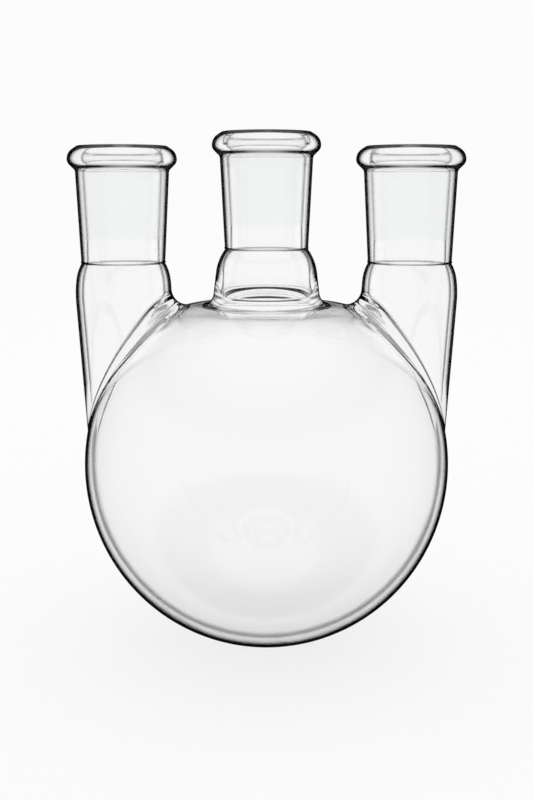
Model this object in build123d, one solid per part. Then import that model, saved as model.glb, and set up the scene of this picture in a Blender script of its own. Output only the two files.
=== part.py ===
from build123d import *
import math
import os

# Three-neck round-bottom flask, 1000 ml, with three parallel standard taper sockets 29/32.
# Millimetres. The origin is the lowest point of the bulb and +Z runs up the centre neck.
# The two side necks stand upright in the XZ plane. Profiles are drawn as (radius, height)
# above the centre of the bulb, or above the foot of a socket.

# Bulb
BULB_OUTER_R = 65.5
BULB_INNER_R = 63.4
BULB_INNER_LIFT = 0.6  # the blown wall is thickest at the bottom
OUTER_CROWN_ANGLE = 40.0  # polar angle at which the flattened crown leaves the sphere
INNER_CROWN_ANGLE = 44.0
CROWN_R = 24.0  # where the crown has become level
OUTER_CROWN_Z = 56.9
INNER_CROWN_Z = 54.9

# Centre neck, a bell between the crown and its socket
CENTRE_SEAL_Z = 76.8  # the flame seal between neck and socket
CENTRE_SEAM_Z = 63.5  # the seal between neck and bulb
BELL_FOOT_R = 19.5
BELL_SHOULDER = (18.15, 68.5)
BELL_FOOT_FILLET = 4.5
BELL_WALL = 2.1
SEAL_LIP_R = 14.4  # the inner ridge that the seal on the bulb leaves
SEAL_LIP_Z = 58.6
SEAL_LIP_FILLET = 1.2
BELL_INNER_FOOT = (15.9, 60.1)
CROWN_INNER_FOOT_R = 17.8

# Side necks, which taper towards the bulb and run into its wall
SIDE_X = 51.3
SIDE_SEAL_Z = 71.8
SIDE_SEAM_R = 73.0  # the seal with the bulb lies on this sphere about the bulb's centre
SIDE_SHOULDER_Z = 58.0
SIDE_SHOULDER_R = 17.0
SIDE_NECKING_Z = 66.2  # from here up the neck draws in to its socket
SIDE_NECKING_R = 16.75
SIDE_TAPER_Z = 4.0
SIDE_TAPER_R = 13.2
SIDE_WALL = 2.1
SIDE_OUTER_FILLET = 6.0
SIDE_INNER_FILLET = 1.2

# Socket, tooled to a standard 29/32 joint: 29.2 mm at its wide end, 1 in 10, 32 mm long
SEAL_OUTER_R = 14.9
GROUND_TOP_R = 14.6
GROUND_TOP_Z = 40.6
GROUND_LENGTH = 32.0
GROUND_SLOPE = 0.05  # 1 in 10 on the diameter
GROUND_FOOT_R = GROUND_TOP_R - GROUND_SLOPE * GROUND_LENGTH
WALL_TOP_R = 16.6
BEAD_R = 19.4
BEAD_Z = 37.0
BEAD_UNDER_R = 2.8  # rounding under the bead's widest level, down to a 45 degree flank
BEAD_CROWN = (17.4, 40.7)  # where the rounding above it passes into the conical top
BEAD_ROOT_FILLET = 2.0
LIP_FILLET = 0.9


def revolved(sketch):
    """The solid of revolution of a half profile about Z."""
    return revolve(sketch.sketch, Axis.Z)


def corner_at(sketch, point):
    """The profile's corner at a (radius, height)."""
    return sketch.vertices().sort_by_distance(point)[0]


def bulb_and_bell_outer():
    """Outer envelope of the bulb, its flattened crown and the centre neck."""
    with BuildSketch(Plane.YZ) as sketch:
        with BuildLine():
            body = CenterArc((0, 0), BULB_OUTER_R, -90, 180 - OUTER_CROWN_ANGLE)
            crown = TangentArc([body @ 1, (CROWN_R, OUTER_CROWN_Z)], tangent=body % 1)
            foot = Line(crown @ 1, (BELL_FOOT_R, OUTER_CROWN_Z))
            wall = Line(foot @ 1, BELL_SHOULDER)
            shoulder = TangentArc([wall @ 1, (SEAL_OUTER_R, CENTRE_SEAL_Z)], tangent=wall % 1)
            top = Line(shoulder @ 1, (0, CENTRE_SEAL_Z))
            Line(top @ 1, body @ 0)
        make_face()
        fillet(corner_at(sketch, (BELL_FOOT_R, OUTER_CROWN_Z)), BELL_FOOT_FILLET)
    return revolved(sketch)


def bulb_and_bell_inner():
    """Cavity of the bulb and the centre neck, with the ridge that the seal leaves."""
    shoulder_r, shoulder_z = BELL_SHOULDER
    with BuildSketch(Plane.YZ) as sketch:
        with BuildLine():
            body = CenterArc((0, BULB_INNER_LIFT), BULB_INNER_R, -90, 180 - INNER_CROWN_ANGLE)
            crown = TangentArc([body @ 1, (CROWN_R, INNER_CROWN_Z)], tangent=body % 1)
            foot = Line(crown @ 1, (CROWN_INNER_FOOT_R, INNER_CROWN_Z))
            lip = Line(foot @ 1, (SEAL_LIP_R, SEAL_LIP_Z))
            rise = Line(lip @ 1, BELL_INNER_FOOT)
            wall = Line(rise @ 1, (shoulder_r - BELL_WALL, shoulder_z))
            shoulder = TangentArc([wall @ 1, (GROUND_FOOT_R, CENTRE_SEAL_Z)], tangent=wall % 1)
            top = Line(shoulder @ 1, (0, CENTRE_SEAL_Z))
            Line(top @ 1, body @ 0)
        make_face()
        for corner in ((CROWN_INNER_FOOT_R, INNER_CROWN_Z), (SEAL_LIP_R, SEAL_LIP_Z), BELL_INNER_FOOT):
            fillet(corner_at(sketch, corner), SEAL_LIP_FILLET)
    return revolved(sketch)


def side_neck(wall, seal_r):
    """One side neck's envelope, set in by the wall, upright at the side neck's place."""
    with BuildSketch(Plane.YZ) as sketch:
        with BuildLine():
            base = Line((0, SIDE_TAPER_Z), (SIDE_TAPER_R - wall, SIDE_TAPER_Z))
            taper = Line(base @ 1, (SIDE_SHOULDER_R - wall, SIDE_SHOULDER_Z))
            waist = TangentArc([taper @ 1, (SIDE_NECKING_R - wall, SIDE_NECKING_Z)], tangent=taper % 1)
            shoulder = TangentArc([waist @ 1, (seal_r, SIDE_SEAL_Z)], tangent=waist % 1)
            top = Line(shoulder @ 1, (0, SIDE_SEAL_Z))
            Line(top @ 1, base @ 0)
        make_face()
    return Pos(SIDE_X, 0, 0) * revolved(sketch)


def with_side_necks(body, neck, fillet_r):
    """A bulb envelope with both side necks run into it by a fillet."""
    joined = body + neck + mirror(neck, Plane.YZ)
    seams = [
        edge
        for edge in joined.edges()
        if edge.geom_type not in (GeomType.LINE, GeomType.CIRCLE) and abs(edge.center().X) > 20
        and 5 < edge.center().Z < 62 and edge.length > 3
    ]
    return fillet(seams, fillet_r)


def socket():
    """A ground socket: bead rim, tapered wall, ground zone and a straight foot."""
    flank = BEAD_UNDER_R * math.sin(math.radians(45))
    flank_top = (BEAD_R - BEAD_UNDER_R + flank, BEAD_Z - flank)
    root = (WALL_TOP_R, flank_top[1] - (flank_top[0] - WALL_TOP_R))
    with BuildSketch(Plane.YZ) as sketch:
        with BuildLine():
            wall = Line((SEAL_OUTER_R, 0), root)
            under = Line(wall @ 1, flank_top)
            nose = TangentArc([under @ 1, (BEAD_R, BEAD_Z)], tangent=under % 1)
            crown = TangentArc([nose @ 1, BEAD_CROWN], tangent=nose % 1)
            slope = (crown % 1).Y / (crown % 1).X
            peak_r = GROUND_TOP_R + GROUND_SLOPE * 2
            peak = (peak_r, BEAD_CROWN[1] + slope * (peak_r - BEAD_CROWN[0]))
            top = Line(crown @ 1, peak)
            ground = Line(top @ 1, (GROUND_FOOT_R, GROUND_TOP_Z - GROUND_LENGTH))
            foot = Line(ground @ 1, (GROUND_FOOT_R, 0))
            Line(foot @ 1, wall @ 0)
        make_face()
        fillet(corner_at(sketch, root), BEAD_ROOT_FILLET)
        fillet(corner_at(sketch, peak), LIP_FILLET)
    return revolved(sketch)


def write(name, shape):
    """One sub-part's STEP file, with the bulb standing on the origin."""
    placed = Pos(0, 0, BULB_OUTER_R) * shape
    placed.label = name
    export_step(placed, f"parts/{name}.step")


def main():
    os.makedirs("parts", exist_ok=True)
    outer = with_side_necks(bulb_and_bell_outer(), side_neck(0, SEAL_OUTER_R), SIDE_OUTER_FILLET)
    inner = with_side_necks(bulb_and_bell_inner(), side_neck(SIDE_WALL, GROUND_FOOT_R), SIDE_INNER_FILLET)
    glass = outer - inner
    column = Cylinder(26, 30, align=(Align.CENTER, Align.CENTER, Align.MIN))
    centre_room = Pos(0, 0, CENTRE_SEAM_Z) * column
    tube_room = Cylinder(24, 90, align=(Align.CENTER, Align.CENTER, Align.MIN))
    right_room = Pos(SIDE_X, 0, 0) * tube_room - Sphere(SIDE_SEAM_R)
    left_room = mirror(right_room, Plane.YZ)
    write("bulb", glass - centre_room - right_room - left_room)
    write("centre_neck", glass & centre_room)
    write("right_side_neck", glass & right_room)
    write("left_side_neck", glass & left_room)
    write("centre_socket", Pos(0, 0, CENTRE_SEAL_Z) * socket())
    write("right_socket", Pos(SIDE_X, 0, SIDE_SEAL_Z) * socket())
    write("left_socket", Pos(-SIDE_X, 0, SIDE_SEAL_Z) * socket())


main()
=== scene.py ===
import math
from typing import NamedTuple

import bpy
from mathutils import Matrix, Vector


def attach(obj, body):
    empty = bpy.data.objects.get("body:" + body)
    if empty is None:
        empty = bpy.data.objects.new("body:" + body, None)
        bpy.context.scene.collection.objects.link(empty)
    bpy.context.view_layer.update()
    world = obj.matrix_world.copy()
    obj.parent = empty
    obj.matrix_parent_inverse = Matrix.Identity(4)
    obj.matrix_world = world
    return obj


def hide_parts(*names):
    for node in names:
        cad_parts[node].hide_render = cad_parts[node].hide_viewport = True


# Three-neck round-bottom flask of clear glass on a white table, seen as against a bright field.
# Shapes are worked out in millimetres above the bulb's centre, or above the foot of a socket, and
# written in metres with the bulb standing on the origin. A profile is a chain of lines and arcs in
# (radius, height). Side necks are worked out on the right and mirrored for the left.

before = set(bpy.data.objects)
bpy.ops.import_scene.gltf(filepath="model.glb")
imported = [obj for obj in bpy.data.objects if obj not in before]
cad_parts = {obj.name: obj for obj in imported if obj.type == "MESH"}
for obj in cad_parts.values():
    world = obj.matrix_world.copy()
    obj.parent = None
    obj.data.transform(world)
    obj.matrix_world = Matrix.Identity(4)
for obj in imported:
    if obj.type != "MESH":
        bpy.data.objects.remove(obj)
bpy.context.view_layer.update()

MM = 0.001

# Bulb
BULB_OUTER_R = 65.5
BULB_INNER_R = 63.4
BULB_INNER_LIFT = 0.6  # the blown wall is thickest at the bottom
OUTER_CROWN_ANGLE = 40.0  # polar angle at which the flattened crown leaves the sphere
INNER_CROWN_ANGLE = 44.0
CROWN_R = 24.0  # where the crown has become level
OUTER_CROWN_Z = 56.9
INNER_CROWN_Z = 54.9

# Centre neck, a bell between the crown and its socket
CENTRE_SEAL_Z = 76.8  # the flame seal between neck and socket
CENTRE_SEAM_Z = 63.5  # the seal between neck and bulb
BELL_FOOT_R = 19.5
BELL_SHOULDER = (18.15, 68.5)
BELL_FOOT_FILLET = 4.5
BELL_WALL = 2.1
SEAL_LIP = (14.4, 58.6)  # the inner ridge that the seal on the bulb leaves
SEAL_LIP_FILLET = 1.2
BELL_INNER_FOOT = (15.9, 60.1)
CROWN_INNER_FOOT_R = 17.8

# Side necks, which taper towards the bulb and run into its wall
SIDE_X = 51.3
SIDE_SEAL_Z = 71.8
SIDE_SEAM_R = 73.0  # the seal with the bulb lies on this sphere about the bulb's centre
SIDE_SHOULDER_R, SIDE_SHOULDER_Z = 17.0, 58.0
SIDE_NECKING_R, SIDE_NECKING_Z = 16.75, 66.2  # from here up the neck draws in to its socket
SIDE_TAPER_R, SIDE_TAPER_Z = 13.2, 4.0
SIDE_WALL = 2.1
SIDE_OUTER_FILLET = 6.0
SIDE_INNER_FILLET = 1.2
SIDE_AXIS = Vector((SIDE_X, 0, 0))

# Socket, tooled to a standard 29/32 joint: 29.2 mm at its wide end, 1 in 10, 32 mm long
SEAL_OUTER_R = 14.9
GROUND_TOP_R = 14.6
GROUND_TOP_Z = 40.6
GROUND_LENGTH = 32.0
GROUND_SLOPE = 0.05  # 1 in 10 on the diameter
GROUND_FOOT_R = GROUND_TOP_R - GROUND_SLOPE * GROUND_LENGTH
PEAK_R = GROUND_TOP_R + GROUND_SLOPE * 2  # where the taper, 2 mm further up, meets the top
WALL_TOP_R = 16.6
BEAD_R = 19.4
BEAD_Z = 37.0
BEAD_UNDER_R = 2.8  # rounding under the bead's widest level, down to a 45 degree flank
BEAD_CROWN = (17.4, 40.7)  # where the rounding above it passes into the conical top
BEAD_ROOT_FILLET = 2.0
LIP_FILLET = 0.9

# The fine ring that a socket's weld leaves, as three corners of (radius, height, rounding)
WELD_RING = (14.92, 0.15, 0.1), (15.2, 0.5, 0.12), (14.95, 0.85, 0.1)

# Division into faces
STEP = 2.0  # longest face along a profile
TURN = math.radians(7)  # greatest bend of one face
BODY_COLUMNS = 240
PATCH_COLUMNS = 24  # of the body, each way from the plane of the necks
PATCH_ROWS = 48
PATCH_ABOVE = 1.0  # from the top of a patch to the crown's level part
PATCH_BELOW = 4.0  # from the bottom of a patch to the fillet
PATCH_STEPS, FILLET_STEPS, COLLAR_STEPS, NECK_STEPS = 12, 10, 12, 48
TUBE_COLUMNS = 4 * PATCH_COLUMNS + 2 * PATCH_ROWS
HALVINGS = 50  # of a stretch in which a place is looked for
TINY = 1e-6
BELL = 2  # number of the first part that follows ball and crown in a body's profile

# Material slots of every piece
OUTSIDE, INSIDE, SEAL, GROUND = range(4)

# Glass colours: clear and matt face on, and a painted shade where a wall is seen edge on
CLEAR = (0.99, 0.994, 0.993)
MATT = (0.965, 0.972, 0.972)
PAINTED_SHADE = (0.0004, 0.0004, 0.0004)

# Layer Weight's Facing (0 face on, 1 edge on) at which the painted dark edge begins and is full
OUTER_TUBE_EDGE = (0.47, 0.67)
INNER_TUBE_EDGE = (0.58, 0.74)
OUTER_BULB_EDGE = (0.74, 0.84)
INNER_BULB_EDGE = (0.72, 0.83)
OUTER_CROWN_EDGE = (0.82, 0.93)
INNER_CROWN_EDGE = (0.955, 0.995)

NOISE_SPAN = (0.3, 0.7)  # holds nearly all values of a noise texture
DRAW_SHARE = 0.12  # of draw lines in the relief of blown glass
RING_SHARE = 0.2  # of lap rings in the relief of ground glass

# Where bulb passes into tubes and into crown, for the limits of the painted edge shade, each as a
# value at which it begins and is full
TUBE_DISTANCE = (0.0660, 0.0715)  # metres from the bulb's centre
CROWN_LEVEL = (0.84, 0.97)  # upright part of the glass's normal
CROWN_HEIGHT = (0.025, 0.040)  # metres above the bulb's centre

# Zones of a socket where the painted edge shade comes sooner: from, to and softness in metres, and the
# edge. At the weld the painted shade is half dark even face on, a painted dark ring.
LIP_ZONE = (0.0406, 0.0500, 0.0004), (0.34, 0.50)
UNDER_BEAD_ZONE = (0.0339, 0.0345, 0.0003), (0.08, 0.36)
WELD_ZONE = (0.0003, 0.0007, 0.0002), (-0.50, 0.48)

# Stage, in metres
STAGE_COLUMNS = 96
STAGE_HOLE = 0.0005  # keeps stage faces off the axis
TABLE_RINGS = (STAGE_HOLE, 0.3, 1, 4, 16, 60)
TABLE_TONES = 0.19, 0.21
TABLE_GLOW = 0.773  # light that the table gives off itself, which keeps shadows faint
HOOD_R = 2.5
HOOD_TURN = 6  # degrees from one ring of the hood to the next
PALE = 0.97  # tone of the room, and of the hood behind the flask

# Heights on the hood between which its tone changes, with the tones at both ends: for mirrored
# rays, and at its crest for bent rays. Between the two heights of OVERHEAD, bent rays pass from
# the pale tone behind the flask to that of the crest.
MIRRORED_TONE = (1.2, 2.3), (0.006, 0.7)
CREST_TONE = (2.0, 2.35), (0.35, PALE)
OVERHEAD = (0.9, 1.4)

# Camera, placed in metres, with its lens and sensor in millimetres
CAMERA_PLACE = (0, -0.380, 0.1654)
CAMERA_TILT = 84  # degrees up from straight down
LENS = 47.76
LENS_SHIFT = -0.13  # of the picture's longer side
SENSOR = 36  # along that side


class Line:
    """A straight stretch of a profile."""

    def __init__(self, a, b):
        self.a = Vector(a)
        self.way = Vector(b) - self.a
        self.length = self.way.length
        self.way.normalize()
        self.bend = 0.0

    def at(self, s):
        return self.a + self.way * s, self.way

    def nearest(self, point):
        return min(max((point - self.a).dot(self.way), 0.0), self.length)


class Arc:
    """A circular stretch of a profile. start and sweep are in radians."""

    def __init__(self, centre, radius, start, sweep):
        self.centre = Vector(centre)
        self.radius = radius
        self.start = start
        self.sweep = sweep
        self.length = radius * abs(sweep)
        self.bend = abs(sweep)

    def at(self, s):
        out = polar(1, self.start + self.sweep * s / self.length)
        way = Vector((-out.y, out.x)) * math.copysign(1, self.sweep)
        return self.centre + out * self.radius, way

    def nearest(self, point):
        swept = (angle_of(point - self.centre) - self.start) * math.copysign(1, self.sweep)
        middle = abs(self.sweep) / 2
        swept = middle + math.remainder(swept - middle, math.tau)
        return min(max(swept, 0.0), abs(self.sweep)) * self.radius


class Profile:
    """A chain of lines and arcs, measured along its length."""

    def __init__(self, *parts):
        self.parts = [p for part in parts for p in (part if isinstance(part, list) else [part])]
        self.starts = [0.0]
        for part in self.parts:
            self.starts.append(self.starts[-1] + part.length)
        self.length = self.starts[-1]

    def at(self, s):
        """The point at s, and the normal on the right hand of the way along."""
        i = max(i for i in range(len(self.parts)) if i == 0 or self.starts[i] <= s)
        return self.part_at(i, s - self.starts[i])

    def part_at(self, i, s):
        point, way = self.parts[i].at(s)
        return point, Vector((way.y, -way.x))

    def nearest(self, point):
        """Signed distance to a point, positive on the normal's side, and where it is."""
        best = None
        for i, part in enumerate(self.parts):
            s = part.nearest(point)
            foot, normal = self.part_at(i, s)
            gap = (point - foot).length
            if best is None or gap < best[0]:
                best = gap, math.copysign(gap, (point - foot).dot(normal)), self.starts[i] + s
        return best[1], best[2]


def angle_of(v):
    return math.atan2(v.y, v.x)


def polar(radius, angle):
    return Vector((math.cos(angle), math.sin(angle))) * radius


def tangent_arc(previous, end):
    """The arc that goes on smoothly from the last part to a point."""
    start, way = previous.at(previous.length)
    left = Vector((-way.y, way.x))
    across = Vector(end) - start
    radius = across.length_squared / (2 * across.dot(left))
    centre = start + left * radius
    begin = angle_of(start - centre)
    sweep = math.remainder(angle_of(Vector(end) - centre) - begin, math.tau)
    return Arc(centre, abs(radius), begin, sweep)


def chain(*corners):
    """Straight lines through corners, each given as (radius, height, rounding)."""
    points = [Vector(c[:2]) for c in corners]
    parts = []
    begin = points[0]
    for i in range(1, len(points) - 1):
        rounding = corners[i][2]
        coming = (points[i] - points[i - 1]).normalized()
        going = (points[i + 1] - points[i]).normalized()
        turn = math.remainder(angle_of(going) - angle_of(coming), math.tau)
        cut = rounding * math.tan(abs(turn) / 2)
        end = points[i] - coming * cut
        parts.append(Line(begin, end))
        begin = points[i]
        if rounding:
            side = Vector((-coming.y, coming.x)) * math.copysign(rounding, turn)
            parts.append(Arc(end + side, rounding, angle_of(-side), turn))
            begin = points[i] + going * cut
    return parts + [Line(begin, points[-1])]


def ball_and_crown(radius, lift, crown_angle, crown_z):
    """The bulb up to where its flattened crown is level."""
    ball = Arc((0, lift), radius, -math.pi / 2, math.radians(180 - crown_angle))
    return [ball, tangent_arc(ball, (CROWN_R, crown_z))]


def body_outer():
    """Bulb, flattened crown and bell-shaped centre neck, outside."""
    ball = ball_and_crown(BULB_OUTER_R, 0, OUTER_CROWN_ANGLE, OUTER_CROWN_Z)
    foot = (BELL_FOOT_R, OUTER_CROWN_Z, BELL_FOOT_FILLET)
    bell = chain((CROWN_R, OUTER_CROWN_Z, 0), foot, (*BELL_SHOULDER, 0))
    return Profile(ball, bell, tangent_arc(bell[-1], (SEAL_OUTER_R, CENTRE_SEAL_Z)))


def body_inner():
    """The same inside, with the ridge that the seal of the centre neck leaves."""
    ball = ball_and_crown(BULB_INNER_R, BULB_INNER_LIFT, INNER_CROWN_ANGLE, INNER_CROWN_Z)
    foot = (CROWN_INNER_FOOT_R, INNER_CROWN_Z)
    ridge = [(*corner, SEAL_LIP_FILLET) for corner in (foot, SEAL_LIP, BELL_INNER_FOOT)]
    shoulder_r, shoulder_z = BELL_SHOULDER
    bell = chain((CROWN_R, INNER_CROWN_Z, 0), *ridge, (shoulder_r - BELL_WALL, shoulder_z, 0))
    return Profile(ball, bell, tangent_arc(bell[-1], (GROUND_FOOT_R, CENTRE_SEAL_Z)))


def side_tube(wall, seal_r):
    """A side neck: widest at its shoulder, tapering down into the bulb."""
    taper = Line((SIDE_TAPER_R - wall, SIDE_TAPER_Z), (SIDE_SHOULDER_R - wall, SIDE_SHOULDER_Z))
    waist = tangent_arc(taper, (SIDE_NECKING_R - wall, SIDE_NECKING_Z))
    return Profile(taper, waist, tangent_arc(waist, (seal_r, SIDE_SEAL_Z)))


def socket_wall():
    """A ground socket, up its outside from the fine ring that the weld leaves, over the bead
    and down its taper and foot."""
    flank = BEAD_UNDER_R * math.sin(math.radians(45))
    flank_r, flank_z = BEAD_R - BEAD_UNDER_R + flank, BEAD_Z - flank
    root = (WALL_TOP_R, flank_z - (flank_r - WALL_TOP_R), BEAD_ROOT_FILLET)
    wall = chain((SEAL_OUTER_R, 0, 0), *WELD_RING, root, (flank_r, flank_z, 0))
    nose = tangent_arc(wall[-1], (BEAD_R, BEAD_Z))
    crown = tangent_arc(nose, BEAD_CROWN)
    end, way = crown.at(crown.length)
    peak = (PEAK_R, end.y + way.y / way.x * (PEAK_R - end.x), LIP_FILLET)
    ground_foot = (GROUND_FOOT_R, GROUND_TOP_Z - GROUND_LENGTH, 0)
    return Profile(wall, nose, crown, chain((*end, 0), peak, ground_foot, (GROUND_FOOT_R, 0, 0)))


class Wall(NamedTuple):
    """One face of the blown glass. sign is 1 outside, and -1 inside, where normals turn round."""

    tag: str
    body: Profile
    tube: Profile
    fillet: float
    sign: int


def blown_walls():
    """Outside and inside of bulb and necks."""
    return (
        Wall("outer", body_outer(), side_tube(0, SEAL_OUTER_R), SIDE_OUTER_FILLET, 1),
        Wall("inner", body_inner(), side_tube(SIDE_WALL, GROUND_FOOT_R), SIDE_INNER_FILLET, -1),
    )


class Shell:
    """The faces of one closed piece of glass. A corner is a point's number and its normal."""

    def __init__(self):
        self.points = []
        self.numbers = {}
        self.faces = []
        self.normals = []
        self.slots = []

    def corner(self, key, point, normal):
        if key not in self.numbers:
            self.numbers[key] = len(self.points)
            self.points.append(point)
        return self.numbers[key], normal

    def face(self, corners, slot):
        """A face turned the way its normals point. Corners that share a point count once."""
        corners = [c for i, c in enumerate(corners) if c[0] != corners[i - 1][0]]
        p = [self.points[number] for number, _ in corners]
        facing = (p[2] - p[0]).cross(p[-1] - p[1])
        if len(p) == 3:
            facing = (p[1] - p[0]).cross(p[2] - p[0])
        if facing.dot(sum((normal for _, normal in corners), Vector((0, 0, 0)))) < 0:
            corners.reverse()
        self.faces.append([number for number, _ in corners])
        self.normals.extend(normal for _, normal in corners)
        self.slots.append(slot)

    def skin(self, rows, slot, skip=None):
        """Faces between rows of corners that run all the way round."""
        for i, (low, high) in enumerate(zip(rows, rows[1:])):
            for j in range(len(low)):
                if skip is None or not skip(i, j):
                    k = (j + 1) % len(low)
                    self.face([low[j], low[k], high[k], high[j]], slot)

    def seam(self, rims, sign, spherical=False):
        """The face between an outer and an inner rim, where two pieces are fused. It is level, or
        lies on a sphere about the bulb's centre, and faces up or outward where sign is 1."""
        level = Vector((0, 0, sign))
        sides = [
            [(n, self.points[n].normalized() * sign if spherical else level) for n, _ in rim]
            for rim in rims
        ]
        self.skin(sides, SEAL)

    def piece(self, name, materials, origin=(0, 0, 0)):
        """The mesh object, with its own origin at a place above the bulb's centre."""
        mesh = bpy.data.meshes.new(name)
        mesh.from_pydata([p * MM for p in self.points], [], self.faces)
        for material in materials:
            mesh.materials.append(material)
        mesh.polygons.foreach_set("material_index", self.slots)
        mesh.polygons.foreach_set("use_smooth", [True] * len(self.faces))
        mesh.normals_split_custom_set([n.normalized() for n in self.normals])
        mesh.update()
        piece = linked(bpy.data.objects.new(name, mesh))
        piece.location = (Vector(origin) + Vector((0, 0, BULB_OUTER_R))) * MM
        return piece


def spun(flat, angle):
    """A profile's (radius, height) turned about the axis into space."""
    return Vector((flat.x * math.cos(angle), flat.x * math.sin(angle), flat.y))


def ring(shell, tag, s, flat, normal, columns, sign=1):
    """One row of corners round the axis."""
    row = []
    for j in range(columns):
        angle = math.tau * j / columns
        key = (tag, round(s, 4), j if flat.x > TINY else 0)
        row.append(shell.corner(key, spun(flat, angle), spun(normal, angle) * sign))
    return row


def slot_of(sign):
    return OUTSIDE if sign > 0 else INSIDE


def divided(part, begin, end):
    """Evenly spaced places along a part, close enough together for its bend."""
    share = (end - begin) / part.length
    count = max(1, math.ceil((end - begin) / STEP), math.ceil(part.bend * share / TURN))
    return [begin + (end - begin) * i / count for i in range(count + 1)]


def turned(shell, tag, profile, begin, end, columns, sign=1, slots=None):
    """Skin of revolution along part of a profile. Returns its first and last row."""
    first = last = None
    for i, part in enumerate(profile.parts):
        a = max(begin - profile.starts[i], 0.0)
        b = min(end - profile.starts[i], part.length)
        if b - a < TINY:
            continue
        rows = [
            ring(shell, tag, profile.starts[i] + s, *profile.part_at(i, s), columns, sign)
            for s in divided(part, a, b)
        ]
        shell.skin(rows, slots.get(i, OUTSIDE) if slots else slot_of(sign))
        first = first or rows[0]
        last = rows[-1]
    return first, last


def passing(low, high, is_before):
    """The place between low and high where is_before turns from true to false."""
    for _ in range(HALVINGS):
        middle = (low + high) / 2
        low, high = (middle, high) if is_before(middle) else (low, middle)
    return high


def height_on(profile, z):
    """Where the upper half of a profile, which rises, passes the height z."""
    return passing(profile.length / 2, profile.length, lambda s: profile.at(s)[0].y < z)


def tube_place(flat, k):
    """A side neck's (radius, height) at its column k in space."""
    return spun(flat, math.tau * k / TUBE_COLUMNS) + SIDE_AXIS


def side_seams(tube):
    """Where each column of a side neck passes the sphere of its seal with the bulb."""
    return [
        passing(0.0, tube.length, lambda s: tube_place(tube.at(s)[0], k).length < SIDE_SEAM_R)
        for k in range(TUBE_COLUMNS)
    ]


def on_body(body, point):
    """Signed distance from a point in space to the body, and the place there as (s, angle)."""
    gap, s = body.nearest(Vector((math.hypot(point.x, point.y), point.z)))
    return gap, s, angle_of(point)


class Ball(NamedTuple):
    """Where the ball of a fillet rests against the body and against a side neck."""

    centre: Vector
    body_s: float
    azimuth: float
    tube_s: float


def ball_centre(wall, k, s):
    """Centre of a fillet's ball that touches column k of a side neck at s."""
    flat, normal = wall.tube.at(s)
    return tube_place(flat + normal * wall.fillet, k)


def rolling_ball(wall, k):
    """The ball of the fillet between body and side neck at column k."""

    def sunk(s):
        return on_body(wall.body, ball_centre(wall, k, s))[0] < wall.fillet

    tube_s = passing(0.0, wall.tube.length, sunk)
    centre = ball_centre(wall, k, tube_s)
    _, body_s, azimuth = on_body(wall.body, centre)
    return Ball(centre, body_s, azimuth, tube_s)


def mirrored(v, side):
    return Vector((v.x * side, v.y, v.z))


def patch_border(k, low_row):
    """Row and column of the body's grid that column k of a side neck's patch ends on."""
    half = PATCH_COLUMNS
    high_row = low_row + PATCH_ROWS
    if k <= half:
        return low_row, k
    if k <= half + PATCH_ROWS:
        return low_row + k - half, half
    if k <= 3 * half + PATCH_ROWS:
        return high_row, 2 * half + PATCH_ROWS - k
    if k <= 3 * half + 2 * PATCH_ROWS:
        return high_row - (k - 3 * half - PATCH_ROWS), -half
    return low_row, k - TUBE_COLUMNS


def bulb_face(shell, wall):
    """Outer or inner face of the bulb's glass. Returns its rims: centre, right and left."""
    balls = [rolling_ball(wall, k) for k in range(TUBE_COLUMNS)]
    high = wall.body.starts[BELL] - PATCH_ABOVE
    low = min(ball.body_s for ball in balls) - PATCH_BELOW
    low_row = math.ceil(low / STEP)
    stations = [low * i / low_row for i in range(low_row)]
    stations += [low + (high - low) * i / PATCH_ROWS for i in range(PATCH_ROWS + 1)]
    rows = [ring(shell, wall.tag, s, *wall.body.at(s), BODY_COLUMNS, wall.sign) for s in stations]

    def in_patch(i, j):
        column = (j + PATCH_COLUMNS) % (BODY_COLUMNS // 2)
        return low_row <= i < low_row + PATCH_ROWS and column < 2 * PATCH_COLUMNS

    shell.skin(rows, slot_of(wall.sign), skip=in_patch)
    top = height_on(wall.body, CENTRE_SEAM_Z)
    centre_rim = turned(shell, wall.tag, wall.body, high, top, BODY_COLUMNS, wall.sign)[1]
    return [centre_rim] + [
        side_foot(shell, wall, side, balls, rows, stations, low_row) for side in (1, -1)
    ]


def side_foot(shell, wall, side, balls, rows, stations, low_row):
    """Where a side neck leaves the bulb: patch, fillet and collar. Returns the collar's rim."""
    columns = []
    for k, (ball, seam_s) in enumerate(zip(balls, side_seams(wall.tube))):
        row, column = patch_border(k, low_row)
        border = rows[row][(column if side > 0 else BODY_COLUMNS // 2 - column) % BODY_COLUMNS]
        path = over_patch(wall.body, stations[row], math.tau * column / BODY_COLUMNS, ball)
        path += round_ball(ball, wall, k, path[-1][0])
        path += up_tube(wall.tube, k, ball.tube_s, seam_s, COLLAR_STEPS)[1:]
        columns.append([border] + side_corners(shell, wall, side, k, path))
    foot = list(zip(*columns))
    shell.skin(foot, slot_of(wall.sign))
    return foot[-1]


def side_corners(shell, wall, side, k, path):
    """Corners along column k of a side neck, on the side asked for."""
    return [
        shell.corner((wall.tag, side, m, k), mirrored(place, side), mirrored(normal, side) * wall.sign)
        for m, (place, normal) in enumerate(path)
    ]


def over_patch(body, border_s, border_angle, ball):
    """Places and normals from the body's grid to a fillet, straight on a map of the body that is
    spread out flat round its axis."""
    reach = body.starts[BELL] + CROWN_R
    border = polar(reach - border_s, border_angle)
    foot = polar(reach - ball.body_s, ball.azimuth)
    path = []
    for m in range(1, PATCH_STEPS + 1):
        spread = border.lerp(foot, m / PATCH_STEPS)
        flat, normal = body.at(reach - spread.length)
        path.append((spun(flat, angle_of(spread)), spun(normal, angle_of(spread))))
    return path


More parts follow.
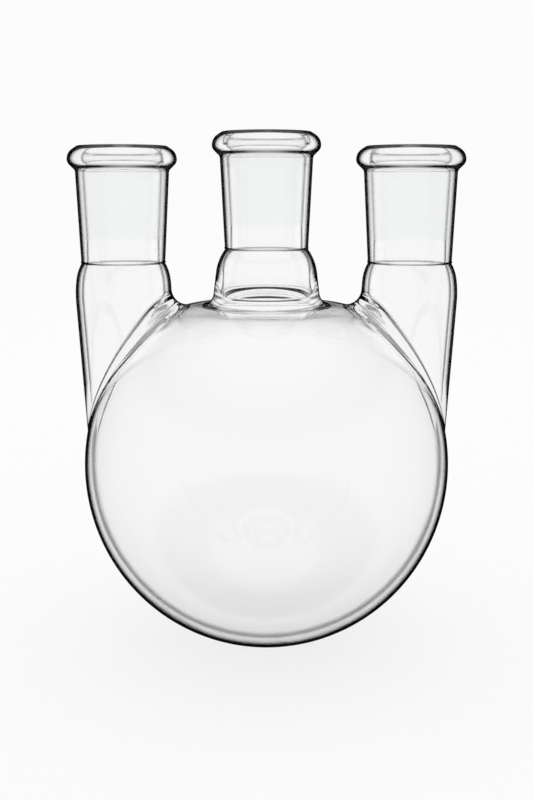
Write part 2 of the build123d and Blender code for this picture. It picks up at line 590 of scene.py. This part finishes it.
def round_ball(ball, wall, k, begin):
    """Places and normals over a fillet, from a place on the body to the side neck."""
    begin_off = (begin - ball.centre).normalized()
    end_off = -spun(wall.tube.at(ball.tube_s)[1], math.tau * k / TUBE_COLUMNS)
    offs = [begin_off.slerp(end_off, m / FILLET_STEPS) for m in range(1, FILLET_STEPS + 1)]
    return [(ball.centre + off * wall.fillet, -off) for off in offs]


def up_tube(tube, k, begin, end, steps):
    """Places and normals up column k of a side neck."""
    path = []
    for m in range(steps + 1):
        flat, normal = tube.at(begin + (end - begin) * m / steps)
        path.append((tube_place(flat, k), spun(normal, math.tau * k / TUBE_COLUMNS)))
    return path


def bulb(materials):
    """The bulb's glass, with a level seam at the centre neck and spherical ones at the sides."""
    shell = Shell()
    centre_rims, *side_rims = zip(*(bulb_face(shell, wall) for wall in blown_walls()))
    shell.seam(centre_rims, 1)
    for rims in side_rims:
        shell.seam(rims, 1, spherical=True)
    return shell.piece("bulb_glass", materials)


def centre_neck(materials):
    """The bell-shaped piece between crown and centre socket."""
    shell = Shell()
    rims = []
    for tag, body, _, _, sign in blown_walls():
        begin = height_on(body, CENTRE_SEAM_Z)
        rims.append(turned(shell, tag, body, begin, body.length, BODY_COLUMNS, sign))
    foot_rims, top_rims = zip(*rims)
    shell.seam(foot_rims, -1)
    shell.seam(top_rims, 1)
    return shell.piece("centre_neck_glass", materials)


def side_neck(name, side, materials):
    """A side neck from its seal with the bulb up to its socket."""
    shell = Shell()
    rims = []
    for wall in blown_walls():
        columns = []
        for k, seam_s in enumerate(side_seams(wall.tube)):
            path = up_tube(wall.tube, k, seam_s, wall.tube.length, NECK_STEPS)
            columns.append(side_corners(shell, wall, side, k, path))
        rows = list(zip(*columns))
        shell.skin(rows, slot_of(wall.sign))
        rims.append((rows[0], rows[-1]))
    foot_rims, top_rims = zip(*rims)
    shell.seam(foot_rims, -1, spherical=True)
    shell.seam(top_rims, 1)
    return shell.piece(name, materials)


def socket(name, x, foot_z, columns, materials):
    """A ground socket whose foot lies on a neck's top. The last two parts of its profile are the
    ground taper and the straight foot."""
    shell = Shell()
    wall = socket_wall()
    foot = len(wall.parts) - 1
    slots = {foot - 1: GROUND, foot: INSIDE}
    shell.seam(turned(shell, "wall", wall, 0.0, wall.length, columns, slots=slots), -1)
    return shell.piece(name, materials, (x, 0, foot_z))


class Nodes:
    """A short way to put a material's nodes together."""

    def __init__(self, tree):
        self.tree = tree

    def add(self, kind, **inputs):
        node = self.tree.nodes.new("ShaderNode" + kind)
        for name, value in inputs.items():
            self.put(node.inputs[name.replace("_", " ")], value)
        return node

    def put(self, entry, value):
        if isinstance(value, bpy.types.NodeSocket):
            self.tree.links.new(value, entry)
        else:
            entry.default_value = value


def new_material(name):
    material = bpy.data.materials.new(name)
    material.use_nodes = True
    material.node_tree.nodes.clear()
    nodes = Nodes(material.node_tree)
    return material, nodes, nodes.add("OutputMaterial")


def object_place(nodes):
    return nodes.add("TexCoord").outputs["Object"]


def height_of(nodes, vector):
    return nodes.add("SeparateXYZ", Vector=vector).outputs["Z"]


def noise(nodes, scale, detail, roughness=0.5, stretch=None):
    """Solid noise in metres on the object, stretched along an axis if asked."""
    place = object_place(nodes)
    if stretch:
        place = nodes.add("Mapping", Vector=place, Scale=stretch).outputs[0]
    made = nodes.add("TexNoise", Vector=place, Scale=scale, Detail=detail, Roughness=roughness)
    return made.outputs["Fac"]


def ranged(nodes, value, span, result, smooth=False):
    """A value brought from one span to another, and held at its ends."""
    node = nodes.add("MapRange")
    node.interpolation_type = "SMOOTHSTEP" if smooth else "LINEAR"
    for entry, wanted in zip(node.inputs[:5], (value, *span, *result)):
        nodes.put(entry, wanted)
    return node.outputs[0]


def blended(nodes, share, a, b):
    """a where share is 0 and b where it is 1. A mix takes numbers at its inputs 2 and 3."""
    mix = nodes.add("Mix")
    nodes.put(mix.inputs["Factor"], share)
    nodes.put(mix.inputs[2], a)
    nodes.put(mix.inputs[3], b)
    return mix.outputs[0]


def blended_colour(nodes, share, a, b):
    """The same for colours, which a mix takes at its inputs 6 and 7."""
    mix = nodes.add("Mix")
    mix.data_type = "RGBA"
    nodes.put(mix.inputs["Factor"], share)
    nodes.put(mix.inputs[6], (*a, 1))
    nodes.put(mix.inputs[7], (*b, 1))
    return mix.outputs[2]


def worked(nodes, operation, *values):
    node = nodes.add("Math")
    node.operation = operation
    for entry, value in zip(node.inputs, values):
        nodes.put(entry, value)
    return node.outputs[0]


def edge_with_painted_shade(nodes, clear, edge):
    """Glass colour: clear face on, with a painted shade where the wall is seen edge on, standing for
    the dark outlines of glass in a bright field.
    """
    facing = nodes.add("LayerWeight", Blend=0.5).outputs["Facing"]
    shade_share = ranged(nodes, facing, edge, (0.0, 1.0), smooth=True)
    return blended_colour(nodes, shade_share, clear, PAINTED_SHADE)


def body_edges(nodes, tube_edge, bulb_edge, crown_edge):
    """Where the painted dark edge, a painted shade, begins and is full on bulb and necks.

    It begins earlier on the tubes than on the bulb, which turns away more slowly, and later on
    the level crown, which would otherwise be seen edge on all over. The object's own origin is
    the bulb's centre.
    """
    place = object_place(nodes)
    off = nodes.add("VectorMath", Vector=place)
    off.operation = "LENGTH"
    tube = ranged(nodes, off.outputs["Value"], TUBE_DISTANCE, (0.0, 1.0), smooth=True)
    lean = worked(nodes, "ABSOLUTE", height_of(nodes, nodes.add("NewGeometry").outputs["Normal"]))
    level = ranged(nodes, lean, CROWN_LEVEL, (0.0, 1.0), smooth=True)
    high = ranged(nodes, height_of(nodes, place), CROWN_HEIGHT, (0.0, 1.0))
    crown = worked(nodes, "MULTIPLY", level, high)
    return [
        blended(nodes, crown, blended(nodes, tube, on_bulb, on_tube), on_crown)
        for on_bulb, on_tube, on_crown in zip(bulb_edge, tube_edge, crown_edge)
    ]


def band(nodes, value, low, high, soft):
    """1 between two values and 0 away from them, with soft ends."""
    rising = ranged(nodes, value, (low - soft, low), (0.0, 1.0), smooth=True)
    falling = ranged(nodes, value, (high, high + soft), (1.0, 0.0), smooth=True)
    return worked(nodes, "MULTIPLY", rising, falling)


def socket_edges(nodes, tube_edge):
    """The same on a socket, whose painted edge shade comes sooner at its lip, under its bead and at
    its weld, where a painted dark ring shows even face on.
    """
    height = height_of(nodes, object_place(nodes))
    edges = tube_edge
    for zone, edge in (LIP_ZONE, UNDER_BEAD_ZONE, WELD_ZONE):
        here = band(nodes, height, *zone)
        edges = [blended(nodes, here, before, within) for before, within in zip(edges, edge)]
    return edges


def glass(name, clear, edge_at, rough, relief_at, strength, distance):
    """Borosilicate glass. edge_at makes the limits of its painted dark edge, a painted shade standing
    for the dark outlines of glass in a bright field, and relief_at makes its relief and the noise that
    its roughness follows."""
    material, nodes, out = new_material(name)
    relief, fine = relief_at(nodes)
    bump = nodes.add("Bump", Strength=strength, Distance=distance, Height=relief)
    shader = nodes.add("BsdfPrincipled", IOR=1.47, Roughness=ranged(nodes, fine, NOISE_SPAN, rough))
    nodes.put(shader.inputs["Transmission Weight"], 1.0)
    nodes.put(shader.inputs["Base Color"], edge_with_painted_shade(nodes, clear, edge_at(nodes)))
    nodes.put(shader.inputs["Normal"], bump.outputs[0])
    nodes.put(out.inputs["Surface"], shader.outputs[0])
    return material


def drawn_waves(nodes):
    """A slow waviness, with faint draw lines up the glass. The roughness follows the waviness."""
    wave = noise(nodes, scale=34.0, detail=1.5)
    draw = noise(nodes, scale=160.0, detail=2.0, stretch=(1.0, 1.0, 0.08))
    return worked(nodes, "MULTIPLY_ADD", draw, DRAW_SHARE, wave), wave


def lapped_grain(nodes):
    """The even grain of ground glass, with faint rings from the lap, which the roughness follows."""
    rings = noise(nodes, scale=900.0, detail=2.0, roughness=0.6, stretch=(0.05, 0.05, 1.0))
    grain = noise(nodes, scale=5200.0, detail=2.0, roughness=0.6)
    return worked(nodes, "MULTIPLY_ADD", rings, RING_SHARE, grain), rings


def glass_set():
    """Materials in the order of the slots: for bulb and necks, and for the sockets."""
    polish = dict(rough=(0.0, 0.012), relief_at=drawn_waves, strength=0.05, distance=0.0015)
    ground = dict(rough=(0.11, 0.15), relief_at=lapped_grain, strength=0.12, distance=0.00004)

    def body_outside(nodes):
        return body_edges(nodes, OUTER_TUBE_EDGE, OUTER_BULB_EDGE, OUTER_CROWN_EDGE)

    def body_inside(nodes):
        return body_edges(nodes, INNER_TUBE_EDGE, INNER_BULB_EDGE, INNER_CROWN_EDGE)

    def socket_outside(nodes):
        return socket_edges(nodes, OUTER_TUBE_EDGE)

    def socket_inside(nodes):
        return INNER_TUBE_EDGE

    seal = fused_seal()
    body = [
        glass("polished_outside", CLEAR, body_outside, **polish),
        glass("polished_inside", CLEAR, body_inside, **polish),
        seal,
    ]
    tube = [
        glass("socket_outside", CLEAR, socket_outside, **polish),
        glass("socket_inside", CLEAR, socket_inside, **polish),
        seal,
        glass("ground_inside", MATT, socket_inside, **ground),
    ]
    return body, tube


def fused_seal():
    """Inside the fused glass, where two pieces meet: nothing is seen."""
    material, nodes, out = new_material("fused_seal")
    unseen = nodes.add("BsdfPrincipled", IOR=1.0, Alpha=0.0)
    nodes.put(out.inputs["Surface"], unseen.outputs[0])
    return material


def grey(tone):
    return (tone, tone, tone)


def table_top():
    """White acrylic table, lit softly from inside, with a faint tooth."""
    material, nodes, out = new_material("white_table")
    dark, light = TABLE_TONES
    tone = blended_colour(nodes, noise(nodes, scale=260.0, detail=3.0), grey(dark), grey(light))
    tooth = noise(nodes, scale=900.0, detail=3.0)
    bump = nodes.add("Bump", Strength=0.08, Distance=0.0003, Height=tooth)
    acrylic = nodes.add("BsdfPrincipled", Roughness=0.9, Base_Color=tone, Normal=bump.outputs[0])
    nodes.put(acrylic.inputs["Specular IOR Level"], 0.0)
    nodes.put(acrylic.inputs["Emission Color"], (*grey(1), 1))
    nodes.put(acrylic.inputs["Emission Strength"], TABLE_GLOW)
    nodes.put(out.inputs["Surface"], acrylic.outputs[0])
    return material


def hood_cloth():
    """What bent and mirrored rays see: pale behind the flask, dark above and in reflections."""
    material, nodes, out = new_material("hood_cloth")
    height = height_of(nodes, object_place(nodes))
    path = nodes.add("LightPath").outputs
    mirrored_tone = ranged(nodes, height, *MIRRORED_TONE, smooth=True)
    crest = ranged(nodes, height, *CREST_TONE, smooth=True)
    overhead = ranged(nodes, height, OVERHEAD, (0.0, 1.0), smooth=True)
    bent_tone = blended(nodes, overhead, PALE, crest)
    tone = blended(nodes, path["Is Transmission Ray"], mirrored_tone, bent_tone)
    tone = blended(nodes, path["Diffuse Depth"], tone, PALE)
    nodes.put(out.inputs["Surface"], nodes.add("Emission", Strength=tone).outputs[0])
    material.cycles.emission_sampling = "NONE"
    return material


def lathe_stage(name, flats, material):
    """A stage object of revolution about the flask's axis, in metres."""
    count = STAGE_COLUMNS
    points = [spun(Vector(flat), math.tau * j / count) for flat in flats for j in range(count)]
    faces = []
    for row in range(0, (len(flats) - 1) * count, count):
        for j in range(count):
            k = (j + 1) % count
            faces.append((row + j, row + k, row + count + k, row + count + j))
    mesh = bpy.data.meshes.new(name)
    mesh.from_pydata(points, [], faces)
    mesh.materials.append(material)
    mesh.update()
    thing = linked(bpy.data.objects.new(name, mesh))
    return thing


def linked(thing):
    bpy.context.scene.collection.objects.link(thing)
    return thing


def soft_box(name, place, aim, size, power):
    """A square light, in metres and watts, that neither reflections nor refractions show."""
    data = bpy.data.lights.new(name, "AREA")
    data.size = size
    data.energy = power
    light = linked(bpy.data.objects.new(name, data))
    light.location = place
    light.rotation_euler = (Vector(aim) - Vector(place)).to_track_quat("-Z", "Y").to_euler()
    light.visible_glossy = False
    light.visible_transmission = False


def studio():
    scene = bpy.context.scene
    world = bpy.data.worlds.new("pale_room")
    world.use_nodes = True
    world.node_tree.nodes["Background"].inputs["Color"].default_value = (*grey(PALE), 1)
    scene.world = world
    table = lathe_stage("table", [(r, 0) for r in TABLE_RINGS], table_top())
    table.visible_glossy = False
    bow = [polar(HOOD_R, math.radians(a)) for a in range(-90, 91, HOOD_TURN)]
    hood = lathe_stage("hood", [(p.x + STAGE_HOLE, p.y) for p in bow], hood_cloth())
    for seen_by in ("camera", "diffuse", "shadow", "volume_scatter"):
        setattr(hood, "visible_" + seen_by, False)
    soft_box("overhead", place=(0.0, 0.15, 1.7), aim=(0, 0, 0.05), size=1.4, power=2.0)
    scene.view_settings.view_transform = "Standard"
    scene.view_settings.look = "None"
    scene.cycles.max_bounces = 24
    scene.cycles.transmission_bounces = 24
    scene.cycles.glossy_bounces = 12
    scene.cycles.transparent_max_bounces = 32


def camera():
    data = bpy.data.cameras.new("camera")
    view = linked(bpy.data.objects.new("camera", data))
    data.sensor_width = SENSOR
    data.lens = LENS
    data.shift_y = LENS_SHIFT
    data.clip_start = 0.01
    data.clip_end = 30
    view.location = CAMERA_PLACE
    view.rotation_euler = (math.radians(CAMERA_TILT), 0, 0)
    bpy.context.scene.camera = view


def build():
    body, tube = glass_set()
    pieces = {
        "bulb": bulb(body),
        "centre_neck": centre_neck(body),
        "right_side_neck": side_neck("right_side_neck_glass", 1, body),
        "left_side_neck": side_neck("left_side_neck_glass", -1, body),
    }
    for name, x, z, columns in (
        ("centre_socket", 0.0, CENTRE_SEAL_Z, BODY_COLUMNS),
        ("right_socket", SIDE_X, SIDE_SEAL_Z, TUBE_COLUMNS),
        ("left_socket", -SIDE_X, SIDE_SEAL_Z, TUBE_COLUMNS),
    ):
        pieces[name] = socket(name + "_glass", x, z, columns, tube)
    for node, piece in pieces.items():
        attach(piece, "root")
        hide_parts(node)


build()
studio()
camera()
